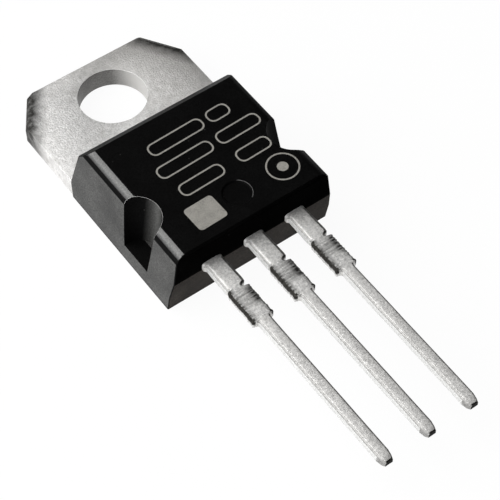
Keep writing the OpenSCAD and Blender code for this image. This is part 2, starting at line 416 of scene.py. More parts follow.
# The moulding: a block trimmed to its leaning walls, with side notches and the ejector's mark
moulding = {"width": 10.0, "rear": -3.6, "front": -12.95, "height": 4.5, "tabTop": 1.27, "leadPlane": 2.5,
            "sideLean": 7.4, "rearLean": 13.6, "frontLean": 3.0, "footLean": 10.6, "rearSlope": 0.75,
            "bevelWidth": 0.42, "bevelDepth": 0.26, "frontBevel": 0.14, "edgeRadius": 0.06,
            "stripRadius": 0.16, "notchRadius": 1.36, "notchLean": 5.6, "notchIn": 0.17, "notchBack": 3.27,
            "rimRadius": 0.055, "ejectorRadius": 0.78, "ejectorDepth": 0.1, "ejectorTaper": 0.06,
            "ejectorX": 0.15, "ejectorBack": 1.62, "ejectorEdge": 0.02, "edgeAngle": 20, "rimAngle": 22,
            "smoothAngle": 24}
plate = {"halfWidth": 4.0, "lean": 14.0, "front": -11.0}
# Limits that tell the moulding's edges and faces apart: distances, and parts of a face's normal
mouldingTests = {"stripLeast": 1.0, "rimRise": 0.1, "rimReach": 0.012, "ejectorReach": 1.0,
                 "notchReach": 0.05, "upright": 0.25, "level": 0.97, "sideways": 0.97, "bevelLeast": 0.15,
                 "bevelMost": 0.6, "bevelTurn": 0.3, "bevelDrop": 0.12}
bevelZ = moulding["height"] - moulding["bevelDepth"]
notchAxes = [(side * (moulding["width"] / 2 - moulding["notchIn"]), moulding["front"] + moulding["notchBack"])
             for side in (-1, 1)]


# The way a wall faces when it leans back by so many degrees
def leaning(x, y, lean):
    return (x * math.cos(lean * deg), y * math.cos(lean * deg), math.sin(lean * deg))


# How far a leaning wall goes back over a height
def setBack(height, lean):
    return height * math.tan(lean * deg)


def fromNotch(point):
    return min(math.hypot(point.x - x, point.y - y) for x, y in notchAxes)


# Cuts along both sides of the plate, and with clear also takes away what lies outside them
def plateSides(piece, clear):
    for side in (-1, 1):
        pickAll(piece)
        bpy.ops.mesh.bisect(plane_co=metres((side * plate["halfWidth"], 0, moulding["tabTop"])),
                            plane_no=leaning(side, 0, -plate["lean"]), use_fill=clear, clear_outer=clear)
        toObjectMode()


def shapeBlock():
    m, t = moulding, mouldingTests
    half = m["width"] / 2
    block = addBlock("moulding", (-half, m["front"], 0), (half, m["rear"], m["height"]))
    shoulder = half - setBack(bevelZ - m["tabTop"], m["sideLean"])
    for side in (-1, 1):
        trim(block, (side * half, 0, m["tabTop"]), leaning(side, 0, m["sideLean"]))
        trim(block, (side * shoulder, 0, bevelZ), (side * m["bevelDepth"], 0, m["bevelWidth"]))
    trim(block, (0, m["rear"], m["tabTop"]), leaning(0, 1, m["rearLean"]))
    slopeZ = m["height"] - m["rearSlope"]
    trim(block, (0, m["rear"] - setBack(slopeZ - m["tabTop"], m["rearLean"]), slopeZ), (0, 1, 1))
    trim(block, (0, m["front"], m["leadPlane"]), leaning(0, -1, m["frontLean"]))
    trim(block, (0, m["front"], m["leadPlane"]), leaning(0, -1, -m["footLean"]))
    noseZ = m["height"] - m["frontBevel"]
    trim(block, (0, m["front"] + setBack(noseZ - m["leadPlane"], m["frontLean"]), noseZ), (0, -1, 1))
    # The long edges of the bevels first, then every other edge above the mounting face
    roundEdges(block, m["stripRadius"], 4, lambda a, b, n: sharp(n, m["edgeAngle"]) and a.z > bevelZ - near
               and abs(a.z - b.z) < tiny and abs(a.x - b.x) < tiny and abs(a.y - b.y) > t["stripLeast"])
    roundEdges(block, m["edgeRadius"], 3, lambda a, b, n: sharp(n, m["edgeAngle"]) and max(a.z, b.z) > near)
    return block


# The notches are open at the top and reach down to the level of the tab's top
def cutNotches(block):
    m = moulding
    lift = m["height"] - m["tabTop"]
    slope = math.tan(m["notchLean"] * deg)
    for x, y in notchAxes:
        combine(block, addCone("notch", (x, y, m["tabTop"]), lift + over, m["notchRadius"] - lift * slope,
                               m["notchRadius"] + over * slope))


def roundRims(block):
    m, t = moulding, mouldingTests
    slope = math.tan(m["notchLean"] * deg)

    def onRim(point):
        radius = m["notchRadius"] - (m["height"] - point.z) * slope
        return point.z > m["tabTop"] + t["rimRise"] and abs(fromNotch(point) - radius) < t["rimReach"]

    roundEdges(block, m["rimRadius"], 2, lambda a, b, n: sharp(n, m["rimAngle"]) and onRim(a) and onRim(b))


def markEjector(block, x, y):
    radius, taper, depth = moulding["ejectorRadius"], moulding["ejectorTaper"], moulding["ejectorDepth"]
    combine(block, addCone("ejector", (x, y, moulding["height"] - depth), 2 * depth, radius - taper,
                           radius + taper, 64))


# Which finish a face of the moulding has, by its place and the way it faces
def mouldingFace(place, normal):
    m, t = moulding, mouldingTests
    if place.z > m["tabTop"] and fromNotch(place) < m["notchRadius"] + t["notchReach"]:
        if abs(normal.z) < t["upright"]:
            return "notch"
        # Only the left notch's rounded top edge, on the lamps' side, takes the pale highlightRim, a painted
        # highlight
        return "highlightRim" if place.x < 0 and t["upright"] < normal.z < t["level"] else "top"
    if abs(normal.x) > t["sideways"]:
        return "wall"
    onBevel = t["bevelLeast"] < -normal.x < t["bevelMost"] and abs(normal.y) < t["bevelTurn"]
    if onBevel and place.z > bevelZ - t["bevelDrop"]:
        return "bevel"
    if -normal.y > facing:
        return "front" if place.z > m["leadPlane"] else "foot"
    return "top"


def buildMoulding():
    m = moulding
    block = shapeBlock()
    cutNotches(block)
    x, y = m["ejectorX"], m["front"] + m["ejectorBack"]
    markEjector(block, x, y)
    roundRims(block)
    roundEdges(block, m["ejectorEdge"], 2, lambda a, b, n: sharp(n, m["rimAngle"])
               and min(a.z, b.z) > m["height"] - near
               and math.hypot(a.x - x, a.y - y) < mouldingTests["ejectorReach"])
    recess = addBlock("recess", (-plate["halfWidth"], plate["front"], -over),
                      (plate["halfWidth"], m["rear"] + over, m["tabTop"]))
    plateSides(recess, True)
    combine(block, recess)
    finishMesh(block, m["smoothAngle"])
    evenShading(block)
    kinds = list(epoxyLooks)
    for kind, look in epoxyLooks.items():
        block.data.materials.append(buildEpoxy(kind + "Epoxy", look))
    for face in block.data.polygons:
        face.material_index = kinds.index(mouldingFace(face.center / mm, face.normal))
    return block


body = buildMoulding()
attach(body, "root")
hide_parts("moulded_body")
print("moulding made", len(body.data.polygons))

# Sizes of the leads, and of the tab that the middle lead is part of
lead = {"pitch": 2.54, "under": 2.5, "thickness": 0.5, "pinWidth": 0.69, "rootWidth": 1.06, "footWidth": 1.12,
        "outerStart": -12.6, "earEnd": -13.15, "stubWidth": 1.22, "stubStart": -15.0, "stubEnd": -17.2,
        "stubStep": 0.055, "ragged": 0.03, "raggedFrom": 0.27, "raggedTo": 0.2, "dent": 0.008,
        "scoresAt": (-0.65, -0.86, -1.07), "scoreReach": 0.03, "scoreDepth": 0.03, "pinStep": 1.0,
        "pinWander": 0.005, "tip": -26.85, "pointLength": 0.5, "pointWidth": 0.44, "pointThickness": 0.3,
        "topRadius": 0.15, "underRadius": 0.03, "postWidth": 2.0, "postRear": -10.7, "postFront": -12.2,
        "postStep": 0.02, "postIn": 0.12, "lockRadius": 0.25, "lockY": -11.8, "smoothAngle": 40,
        "sideSeed": 7, "middleSeed": 3}
# Steps of the outline round a place: the width that each follows, how far back it is, and how far its left
# and right sides stand out beyond half of that width
leadSteps = {
    "outerStart": [("rootWidth", 0, 0.1, 0)],
    "earEnd": [("rootWidth", 0.06, 0.1, 0), ("rootWidth", 0.01, 0.06, 0), ("rootWidth", -0.03, 0.02, 0),
               ("rootWidth", -0.06, 0, 0)],
    "stubStart": [("footWidth", 0.3, 0, 0), ("footWidth", 0.12, -0.01, -0.02),
                  ("footWidth", 0.09, -0.02, -0.14), ("footWidth", 0.03, -0.05, -0.24),
                  ("footWidth", -0.04, 0, -0.28), ("stubWidth", -0.11, -0.03, -0.3),
                  ("stubWidth", -0.17, 0, -0.21), ("stubWidth", -0.2, 0, -0.08), ("stubWidth", -0.22, 0, 0)],
    "stubEnd": [("stubWidth", 0.16, 0, 0), ("stubWidth", 0.1, 0.03, 0.03), ("stubWidth", 0.04, 0.02, 0.02),
                ("stubWidth", 0, -0.03, -0.03), ("stubWidth", -0.02, -0.13, -0.13),
                ("pinWidth", -0.03, 0.1, 0.06), ("pinWidth", -0.07, 0.04, 0.02), ("pinWidth", -0.15, 0, 0)]}
# Steps of the point, as shares of its length from the tip, of its narrowing, of its rise and of its thinning
pointSteps = ((0.4, 0.48, 0, 0.05), (0.14, 0.8, 0.7, 0.7), (0, 1, 1, 1))
tab = {"halfWidth": 4.95, "end": 2.75, "top": 1.27, "cornerWidth": 1.15, "cornerLength": 1.75,
       "holeRadius": 1.91, "rollRadius": 0.05, "cornerRoll": 0.4, "underRadius": 0.025, "neckHalfWidth": 0.8,
       "neckThickness": 0.5, "bendRadius": 0.3, "bendAngle": 65.0, "bendSteps": 8, "rollAngle": 40,
       "cornerFrom": 3.0, "cornerLeast": 0.5}

tin = {"metallic": 0.8, "rough": (0.52, 0.70), "grain": 0.105, "harshness": 0.75, "mottle": 0.42,
       "mottleHarshness": 0.7, "reliefShare": 0.6, "cloud": 2.3, "cloudHarshness": 0.55, "cloudLeast": 0.35,
       # stainAndShade: the tone of real stains and pits, also used for painted shade on the tab's right
       "pitSpacing": 0.3, "pitSize": 0.16, "pitShare": 0.35, "pitShade": 0.4, "stainAndShade": (0.36, 0.35, 0.335, 1),
       "dark": (0.03, 0.029, 0.027, 1)}
tinKinds = {
    "tabTin": {"tones": ((0.56, 0.555, 0.545, 1), (0.97, 0.96, 0.95, 1)), "blotched": 0.6, "depth": 0.03,
               "relief": 0.014},
    "leadTin": {"tones": ((0.50, 0.495, 0.485, 1), (0.92, 0.91, 0.89, 1)), "blotched": 0.35, "depth": 0.011,
                "relief": 0.004},
    # litSideTin: a paler, evener copy of the lead tin for the lead sides that face the lamps, as painted
    # light
    "litSideTin": {"tones": ((0.60, 0.60, 0.59, 1), (0.86, 0.86, 0.85, 1)), "depth": 0.004, "relief": 0.002},
    # shadedRollTin: a darker copy of the lead tin for the leads' left roundings and the left slopes of their
    # points, painted shade that tones down the lamps' highlight
    "shadedRollTin": {"tones": ((0.24, 0.237, 0.23, 1), (0.44, 0.435, 0.425, 1)), "depth": 0.008, "relief": 0.002},
    # shadedEdgeTin: a dark copy of the tin for edges turned away from the lamps, to the right and rear, as
    # painted shade
    "shadedEdgeTin": {"tones": ((0.09, 0.088, 0.084, 1), (0.30, 0.295, 0.285, 1)), "depth": 0.008, "relief": 0.003}}
tabShades = {"right": {"low": -1.5, "high": 20.0, "fade": 5.5, "x": 0.8, "y": 0.6}, "rightShadeShare": 0.85,
             "sealed": {"low": -30.0, "high": -4.2, "fade": 0.3, "y": 1.0}, "sealedShadeShare": 0.9,
             "cornerShadeReach": 1.2, "cornerShadeBeyond": 2.0, "cornerShadeFade": 0.85, "cornerShadePower": 1.15,
             "cornerShadeRough": (0.82, 1.12)}


# Painted shade on the tab: darker towards the right and its end, away from the lamps; dark where it runs
# under the moulding, which shows at the notch floors; and dark on the slopes of its cut corners, which the
# punch rolled
def shadeTab(tree, colour, mottle):
    s = tabShades
    # Painted shade: darker towards the right and the tab's end, away from the lamps
    colour = mixColour(tree, times(tree, useBand(tree, **s["right"]), s["rightShadeShare"]), colour, tin["stainAndShade"])
    # Painted shade where the tab runs under the moulding, which shows at the notch floors
    colour = mixColour(tree, times(tree, useBand(tree, **s["sealed"]), s["sealedShadeShare"]), colour, tin["dark"])
    length = math.hypot(tab["cornerLength"], tab["cornerWidth"])
    # Painted shade on the rolled slopes of both cut corners
    for side in (-1, 1):
        across, along = side * tab["cornerLength"] / length, tab["cornerWidth"] / length
        edge = tab["halfWidth"] * abs(across) + (tab["end"] - tab["cornerLength"]) * along
        rolled = useBand(tree, edge - s["cornerShadeReach"], edge + s["cornerShadeBeyond"], s["cornerShadeFade"],
                         across, along)
        share = times(tree, maths(tree, "POWER", rolled, s["cornerShadePower"]),
                      span(tree, mottle["Mask"], *s["cornerShadeRough"]))
        colour = mixColour(tree, share, colour, tin["dark"])
    return colour


# Tin plate with a fine sparkling grain, in some kinds with blotches and pits; the lit side, shaded roll and
# shaded edge kinds are lighter and darker copies, as painted light and painted shade
def buildTin(name):
    kind = tinKinds[name]
    material, tree, shader = newMaterial(name, Metallic=tin["metallic"])
    grain = useGrain(tree, tin["grain"], tin["harshness"])
    mottle = useGrain(tree, tin["mottle"], tin["mottleHarshness"])
    colour = mixColour(tree, grain["Mask"], *kind["tones"])
    if "blotched" in kind:
        cloud = useGrain(tree, tin["cloud"], tin["cloudHarshness"])
        pits = useGroup(tree, sparseSpecks, Spacing=tin["pitSpacing"], Size=tin["pitSize"],
                        Share=tin["pitShare"])
        blotches = times(tree, span(tree, cloud["Mask"], tin["cloudLeast"], 1.0), mottle["Mask"])
        colour = mixColour(tree, span(tree, blotches, 0.0, kind["blotched"]), colour, tin["stainAndShade"])
        colour = mixColour(tree, times(tree, pits["Mask"], tin["pitShade"]), colour, tin["stainAndShade"])
    if name == "tabTin":
        colour = shadeTab(tree, colour, mottle)
    relief = bump(tree, mottle["Height"], kind["relief"], tin["reliefShare"])
    dress(tree, shader, colour, span(tree, mottle["Height"], *tin["rough"]),
          bump(tree, grain["Height"], kind["depth"], 1.0, relief))
    return material


scores = {"metallic": 0.75, "width": 1.1, "harshness": 0.5, "stretch": 11.0, "lines": (0.62, 0.42),
          "right": (-0.05, 0.36), "rightLeast": 0.5, "left": (-0.22, -0.46), "leftLeast": 0.7, "faint": 0.45,
          "startBack": 0.05, "endBack": 1.55, "fade": 0.35, "beyond": 0.05, "rough": (0.4, 0.6),
          "relief": 0.03, "reliefShare": 0.7, "depth": 0.015}


# The upper face of the stubs: dark scores across it, close together at both edges
def buildScoredTin():
    s = scores
    material, tree, shader = newMaterial("scoredTin", Metallic=s["metallic"])
    place = addNode(tree, "ShaderNodeSeparateXYZ", {0: ownPlace(tree)})
    half = lead["pitch"] / 2
    across = addNode(tree, "ShaderNodeMath", {0: times(tree, place.outputs["X"], 1 / mm), 1: half, 2: -half},
                     operation="WRAP").outputs[0]
    score = useGrain(tree, s["width"], s["harshness"], s["stretch"])
    grain = useGrain(tree, tin["grain"], tin["harshness"])
    lines = ramp(tree, score["Height"], *s["lines"])
    share = times(tree, ramp(tree, across, *s["right"]), span(tree, lines, s["rightLeast"], 1.0))
    share = maths(tree, "MAXIMUM", share, times(tree, lines, s["faint"]))
    zone = useBand(tree, lead["stubStart"] - s["endBack"], lead["stubStart"] - s["startBack"],
                   s["fade"], y=1.0)
    share = times(tree, share, span(tree, zone, s["beyond"], 1.0))
    left = times(tree, ramp(tree, across, *s["left"]), span(tree, lines, s["leftLeast"], 1.0))
    colour = mixColour(tree, grain["Mask"], *tinKinds["leadTin"]["tones"])
    colour = mixColour(tree, maths(tree, "MAXIMUM", share, left), colour, tin["dark"])
    relief = bump(tree, score["Height"], s["relief"], s["reliefShare"])
    dress(tree, shader, colour, span(tree, grain["Height"], *s["rough"]),
          bump(tree, grain["Height"], s["depth"], 1.0, relief))
    return material


sheared = {"metallic": 0.45, "specular": 0.1, "grain": 0.08, "harshness": 0.8, "streak": 0.12,
           "streakHarshness": 0.7, "stretch": 3.0, "cut": ((0.42, 0.41, 0.40, 1), (0.9, 0.9, 0.89, 1)),
           "torn": ((0.005, 0.005, 0.004, 1), (0.05, 0.047, 0.043, 1)), "rough": (0.45, 0.75), "depth": 0.03,
           "upper": {"low": 2.66, "high": 3.3, "fade": 0.12, "z": 1.0}}


# Sheared metal: torn and dark in its upper part, cut clean and pale below
def buildSheared():
    s = sheared
    material, tree, shader = newMaterial("shearedMetal", Metallic=s["metallic"],
                                         Specular_IOR_Level=s["specular"])
    grain = useGrain(tree, s["grain"], s["harshness"])
    streaks = useGrain(tree, s["streak"], s["streakHarshness"], s["stretch"])
    colour = mixColour(tree, useBand(tree, **s["upper"]), mixColour(tree, streaks["Mask"], *s["cut"]),
                       mixColour(tree, streaks["Mask"], *s["torn"]))
    dress(tree, shader, colour, span(tree, grain["Height"], *s["rough"]),
          bump(tree, streaks["Height"], s["depth"]))
    return material


punched = {"metallic": 0.6, "tones": ((0.13, 0.127, 0.122, 1), (0.26, 0.255, 0.245, 1)), "grain": 0.09,
           "harshness": 0.7, "patchAndPaintedLight": (0.08, 0.078, 0.075, 1), "patchWidth": 0.8, "patchHarshness": 0.5,
           "patchShare": 0.4, "paintedLightTone": (0.66, 0.65, 0.63, 1), "rough": (0.4, 0.6), "depth": 0.01,
           "right": {"low": 1.0, "high": 9.0, "fade": 1.1, "x": 1.0}}


# The wall of the punched hole: duller and darker than the face, with darker patches, and brighter to the
# right as painted light where it faces the lamps
def buildPunchedWall():
    p = punched
    material, tree, shader = newMaterial("punchedWall", Metallic=p["metallic"])
    grain = useGrain(tree, p["grain"], p["harshness"])
    patches = useGrain(tree, p["patchWidth"], p["patchHarshness"])
    colour = mixColour(tree, grain["Mask"], *p["tones"])
    colour = mixColour(tree, times(tree, patches["Mask"], p["patchShare"]), colour, p["patchAndPaintedLight"])
    # Painted light: the wall is brighter towards the right, the part that faces the lamps
    colour = mixColour(tree, useBand(tree, **p["right"]), colour, p["paintedLightTone"])
    dress(tree, shader, colour, span(tree, grain["Height"], *p["rough"]),
          bump(tree, grain["Height"], p["depth"]))
    return material


# The cropped end of a pin, near black as painted shade on the end faces
cropped = {"tones": (grey(0.004), (0.03, 0.029, 0.027, 1)), "metallic": 0.1, "specular": 0.02, "grain": 0.08,
           "harshness": 0.7, "rough": (0.45, 0.7), "depth": 0.006}

tabTin, leadTin, litSideTin, shadedRollTin, shadedEdgeTin = [buildTin(name) for name in tinKinds]
# The lit side, shaded roll and shaded edge finishes are painted light and painted shade, given by the way a
# face turns
leadFinishes = {"sheared": buildSheared(), "scored": buildScoredTin(), "side": litSideTin, "shadedRoll": shadedRollTin,
                "edge": shadedEdgeTin, "tip": buildPlain("croppedTip", cropped)}
print("metal finishes made")


# Stations of a lead's part outside the moulding: y, left and right half width, drop of the upper face
def outerPlaces(draw):
    p = lead

    def stepsAt(place):
        return [(p[place] + back, p[width] / 2 + left, p[width] / 2 + right, 0)
                for width, back, left, right in leadSteps[place]]

    places = stepsAt("outerStart") + stepsAt("earEnd") + stepsAt("stubStart")
    y = p["stubStart"] - p["raggedFrom"]
    while y > p["stubEnd"] + p["raggedTo"]:
        scored = min(abs(y - p["stubStart"] - gap) for gap in p["scoresAt"]) < p["scoreReach"]
        left, right = [p["stubWidth"] / 2 + draw.uniform(-1, 0.6) * p["ragged"] for side in range(2)]
        places.append((y, left, right, p["scoreDepth"] if scored else draw.uniform(0, p["dent"])))
        y -= p["stubStep"]
    places += stepsAt("stubEnd")
    pin, pointStart = p["pinWidth"] / 2, p["tip"] + p["pointLength"]
    y = p["stubEnd"] - p["pinStep"]
    while y > pointStart + p["pinStep"] / 2:
        left, right = [pin + draw.uniform(-p["pinWander"], p["pinWander"]) for side in range(2)]
        places.append((y, left, right, 0))
        y -= p["pinStep"]
    return places + [(pointStart, pin, pin, 0)]


# Stations as y, width, shift to the right, height of the foot, thickness
def outerStations(draw):
    p = lead
    rows = [(y, left + right, (right - left) / 2, p["under"], p["thickness"] - drop)
            for y, left, right, drop in outerPlaces(draw)]
    narrower, thinner = p["pinWidth"] - p["pointWidth"], p["thickness"] - p["pointThickness"]
    return rows + [(p["tip"] + along * p["pointLength"], p["pinWidth"] - narrow * narrower, 0,
                    p["under"] + rise * thinner / 2, p["thickness"] - thin * thinner)
                   for along, narrow, rise, thin in pointSteps]


# A lead is a rounded section pushed out from station to station
def buildLead(name, x, rows):
    y, width, shift, foot, thickness = rows[0]
    clearSelection()
    bpy.ops.mesh.primitive_plane_add(size=1, rotation=(math.pi / 2, 0, 0),
                                     location=metres((x + shift, y, foot + thickness / 2)))
    bpy.context.object.scale = metres((lead["pinWidth"], thickness, 1))
    strip = named(name)
    pick(strip, "VERT", lambda p: p.z > foot + thickness / 2)
    bpy.ops.mesh.bevel(offset=lead["topRadius"] * mm, segments=5, affect="VERTICES")
    pick(strip, "VERT", lambda p: p.z < foot + tiny)
    bpy.ops.mesh.bevel(offset=lead["underRadius"] * mm, segments=2, affect="VERTICES")
    pickAll(strip)
    bpy.ops.transform.resize(value=(width / lead["pinWidth"], 1, 1),
                             center_override=metres((x + shift, y, foot)))
    for old, new in zip(rows, rows[1:]):
        pushOut((new[2] - old[2], new[0] - old[0], new[3] - old[3]))
        bpy.ops.transform.resize(value=(new[1] / old[1], 1, new[4] / old[4]),
                                 center_override=metres((x + new[2], new[0], new[3])))
    toObjectMode()
    return strip


# Limits that tell a lead's faces apart: distances, and parts of a face's normal
leadTests = {"sealed": 0.1, "nickMiddle": 0.05, "nickReach": 0.17, "nickFrom": 0.26, "burrMiddle": 0.06,
             "burrReach": 0.13, "burrFrom": 0.47, "stubIn": 0.04, "pointIn": 0.05, "tipReach": 0.1,
             "slant": 0.3, "above": 0.1, "rollFrom": 0.35, "steep": 0.6, "up": 0.8, "sideways": 0.96,
             "level": 0.97, "edgeTo": 0.98}


# Which finish a face of a lead has: the first in the list that holds
def leadFace(place, normal):
    p, t = lead, leadTests
    side = place.x - p["pitch"] * round(place.x / p["pitch"])
    left, right = -normal.x, normal.x
    point = place.y < p["tip"] + p["pointLength"] - t["pointIn"]
    nick = (abs(place.y - p["stubStart"] + t["nickMiddle"]) < t["nickReach"] and side > t["nickFrom"]
            and normal.z < t["up"])
    burr = abs(place.y - p["stubEnd"] - t["burrMiddle"]) < t["burrReach"] and abs(side) > t["burrFrom"]
    stub = p["stubEnd"] < place.y < p["stubStart"] - t["stubIn"]
    # Left sides take the lit side tin as painted light; left roundings and point slopes take the shaded roll
    # tin, and right sides and edges the shaded edge tin, as painted shade
    kinds = (("tin", place.y > moulding["front"] + t["sealed"]), ("shadedRoll", point and left > t["slant"]),
             ("tip", place.y < p["tip"] + t["tipReach"] and normal.z < t["level"]),
             ("sheared", point and normal.z < t["steep"]), ("sheared", nick or burr),
             ("sheared", stub and left > t["slant"]), ("edge", stub and right > t["slant"]),
             ("scored", stub and normal.z > t["up"]), ("side", left > t["sideways"]),
             ("shadedRoll", left > t["rollFrom"] and normal.z > t["above"]),
             ("edge", t["slant"] < right < t["edgeTo"] and normal.z > t["above"]))
    return next((kind for kind, holds in kinds if holds), "tin")


# Shades a lead and gives its faces their finishes; the names of the slots come back
def finishLead(strip, base):
    finishMesh(strip, lead["smoothAngle"])
    slots = ["tin"] + list(leadFinishes)
    for material in (base, *leadFinishes.values()):
        strip.data.materials.append(material)
    for face in strip.data.polygons:
        face.material_index = slots.index(leadFace(face.center / mm, face.normal))
    return slots


def buildSideLead(name, side, draw):
    p = lead
    inward = -side * p["postIn"]
    post = [(p["postRear"], p["postWidth"], inward), (p["postFront"] + p["postStep"], p["postWidth"], inward),
            (p["postFront"], p["rootWidth"], 0)]
    rows = [(*place, p["under"], p["thickness"]) for place in post] + outerStations(draw)
    strip = buildLead(name, side * p["pitch"], rows)
    combine(strip, addCone("lock", (side * p["pitch"] + inward, p["lockY"], p["under"] - over / 2),
                           p["thickness"] + over, p["lockRadius"], p["lockRadius"], 32))
    finishLead(strip, leadTin)
    return strip


for name, side, node in (("leftLead", -1, "adjust_lead"), ("rightLead", 1, "input_lead")):
    strip = buildSideLead(name, side, random.Random(side + lead["sideSeed"]))
    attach(strip, "root")
    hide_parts(node)
print("side leads made")


# The heat tab, its plate under the chip, the bent neck and the middle lead, all one piece of metal
def cutTab():
    t = tab
    rear = moulding["rear"]
    piece = addBlock("heatTab", (-t["halfWidth"], rear, 0), (t["halfWidth"], t["end"], t["top"]))
    for side in (-1, 1):
        trim(piece, (side * t["halfWidth"], t["end"] - t["cornerLength"], 0),
             (side * t["cornerLength"], t["cornerWidth"], 0))
    combine(piece, addCone("hole", (0, 0, -over), t["top"] + 2 * over, t["holeRadius"], t["holeRadius"], 96))
    # The cut corners are rolled wide, and every other edge is rolled a little
    roundEdges(piece, t["cornerRoll"], 6, lambda a, b, n: sharp(n) and min(a.z, b.z) > t["top"] - near
               and min(abs(a.x - b.x), abs(a.y - b.y)) > t["cornerLeast"]
               and min(abs(a.x), abs(b.x)) > t["cornerFrom"])
    roundEdges(piece, t["rollRadius"], 3, lambda a, b, n: sharp(n, t["rollAngle"])
               and min(a.z, b.z) > t["top"] - near and max(a.y, b.y) > rear + near)
    roundEdges(piece, t["underRadius"], 2, lambda a, b, n: sharp(n) and max(a.z, b.z) < near
               and max(a.y, b.y) > rear + near)
    return piece


# Extrudes the selected face round a line across the piece, in steps
def turnSection(centre, angle, steps):
    for step in range(steps):
        bpy.ops.mesh.extrude_region()
        bpy.ops.transform.rotate(value=angle * deg / steps, orient_axis="X", center_override=metres(centre))


# Selects the faces that a piece turns to the front at a y, within reach of its middle and above a height
def pickFront(piece, y, reach, low=-1.0):
    pick(piece, "FACE", lambda c, n: n.y < -facing and c.y < y + near and abs(c.x) < reach and c.z > low)


# The plate is pushed out under the chip, and a neck rises from the upper part of its front edge
def raiseNeck(piece):
    t = tab
    front, wide, half = plate["front"], plate["halfWidth"], t["neckHalfWidth"]
    low = t["top"] - t["neckThickness"]
    plateSides(piece, False)
    pickFront(piece, moulding["rear"], wide / 2)
    pushOut((0, front - moulding["rear"], 0))
    for point, normal, reach in (((-half, 0, 0), (1, 0, 0), wide), ((half, 0, 0), (1, 0, 0), wide),
                                 ((0, 0, low), (0, 0, 1), half)):
        pickFront(piece, front, reach)
        bpy.ops.mesh.bisect(plane_co=metres(point), plane_no=normal)
    pickFront(piece, front, half, low)
    middle = t["bendRadius"] + t["neckThickness"] / 2
    cosine, sine = math.cos(t["bendAngle"] * deg), math.sin(t["bendAngle"] * deg)
    slant = (lead["under"] + lead["thickness"] - t["top"] - 2 * middle * (1 - cosine)) / sine
    turnSection((0, front, t["top"] + t["bendRadius"]), t["bendAngle"], t["bendSteps"])
    pushOut((0, -slant * cosine, slant * sine))
    turnSection((0, front - 2 * middle * sine - slant * cosine, lead["under"] - t["bendRadius"]),
                -t["bendAngle"], t["bendSteps"])
    bpy.ops.mesh.delete(type="FACE")
    toObjectMode()


# The middle lead is bridged to the neck, inside the moulding
def joinMiddleLead(piece):
    strip = buildLead("middleLead", 0, outerStations(random.Random(lead["middleSeed"])))
    pick(strip, "FACE", lambda c, n: abs(n.y) > facing and c.y > lead["outerStart"] - near)
    bpy.ops.mesh.delete(type="ONLY_FACE")
    toObjectMode()
    piece = joinPieces("heatTab", [piece, strip])
    pick(piece, "EDGE", lambda a, b, n: len(n) == 1)
    bpy.ops.mesh.bridge_edge_loops()
    toObjectMode()
    return piece


# Limits that tell the tab's faces apart: distances, and parts of a face's normal
tabTests = {"holeReach": 0.1, "rollDepth": 0.06, "rollLeast": 0.2, "level": 0.97, "upright": 0.5,
            "right": 0.3, "rear": 0.3, "rearTurn": 0.2, "rimTilt": 0.4, "rimFrom": -0.6, "leadStart": 0.3}


# The tab's rolled edges are darker at its right and rear, and the hole's edge takes the shaded edge tin at
# its front and the lit side tin at its back: painted shade and painted light
def tabFace(place, normal, kind):
    t = tabTests
    fromAxis = math.hypot(place.x, place.y)
    if fromAxis < tab["holeRadius"] + near and abs(normal.z) < t["upright"]:
        return "wall"
    rolled = t["rollLeast"] < normal.z < t["level"] and place.z > tab["top"] - t["rollDepth"]
    if rolled and place.y > moulding["rear"]:
        if fromAxis < tab["holeRadius"] + t["holeReach"]:
            return "edge" if place.y + t["rimTilt"] * place.x < t["rimFrom"] else "side"
        dark = normal.x > t["right"] or (normal.y > t["rear"] and abs(normal.x) < t["rearTurn"])
        return "edge" if dark else "tin"
    return "lead" if kind == "tin" and place.y < moulding["front"] + t["leadStart"] else kind


def buildHeatTab():
    piece = cutTab()
    raiseNeck(piece)
    piece = joinMiddleLead(piece)
    slots = finishLead(piece, tabTin)
    for kind, material in (("wall", buildPunchedWall()), ("lead", leadTin)):
        slots.append(kind)
        piece.data.materials.append(material)
    for face in piece.data.polygons:
        kind = tabFace(face.center / mm, face.normal, slots[face.material_index])
        face.material_index = slots.index(kind)
    return piece


heatTab = buildHeatTab()
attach(heatTab, "root")
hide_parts("heat_tab")
print("heat tab made", len(heatTab.data.polygons))

# Plain etched marks on the top face: bars, a block and a ring with a dot
marks = {"low": 4.488, "high": 4.504, "turn": 1.6, "turnY": -8.8, "barHeight": 0.86, "barRound": 0.42,
         "stroke": 0.088, "bars": [(-1.9, 1.45, -6.62), (1.75, 3.1, -6.62), (-2.4, 0.95, -8.08),
                                   (1.3, 3.95, -8.08), (-2.15, 0.5, -9.62), (1.4, 3.45, -9.62)],
         "block": (-2.75, -1.05, -12.15, -10.6), "blockRound": 0.2, "ring": (2.89, -11.41, 0.88), "dot": 0.3,
         "smoothAngle": 30}
etching = {"specular": 0.3, "tones": ((0.30, 0.29, 0.262, 1), (0.11, 0.106, 0.097, 1)), "grain": 0.05,
           "harshness": 0.75, "worn": 0.5, "wornHarshness": 0.6, "wornLeast": 0.5, "rough": (0.6, 0.9),
           "depth": 0.004}


def buildEtching():
    e = etching
    material, tree, shader = newMaterial("etchedMark", Specular_IOR_Level=e["specular"])
    grain = useGrain(tree, e["grain"], e["harshness"])
    worn = useGrain(tree, e["worn"], e["wornHarshness"])
    share = times(tree, grain["Mask"], span(tree, worn["Mask"], e["wornLeast"], 1.0))
    dress(tree, shader, mixColour(tree, share, *e["tones"]), span(tree, grain["Height"], *e["rough"]),
          bump(tree, grain["Height"], e["depth"]))
    return material


def roundSlab(name, low, high, radius, steps):
    slab = addBlock(name, low, high)
    roundEdges(slab, radius, steps, lambda a, b, n: abs(a.z - b.z) > tiny)
    return slab


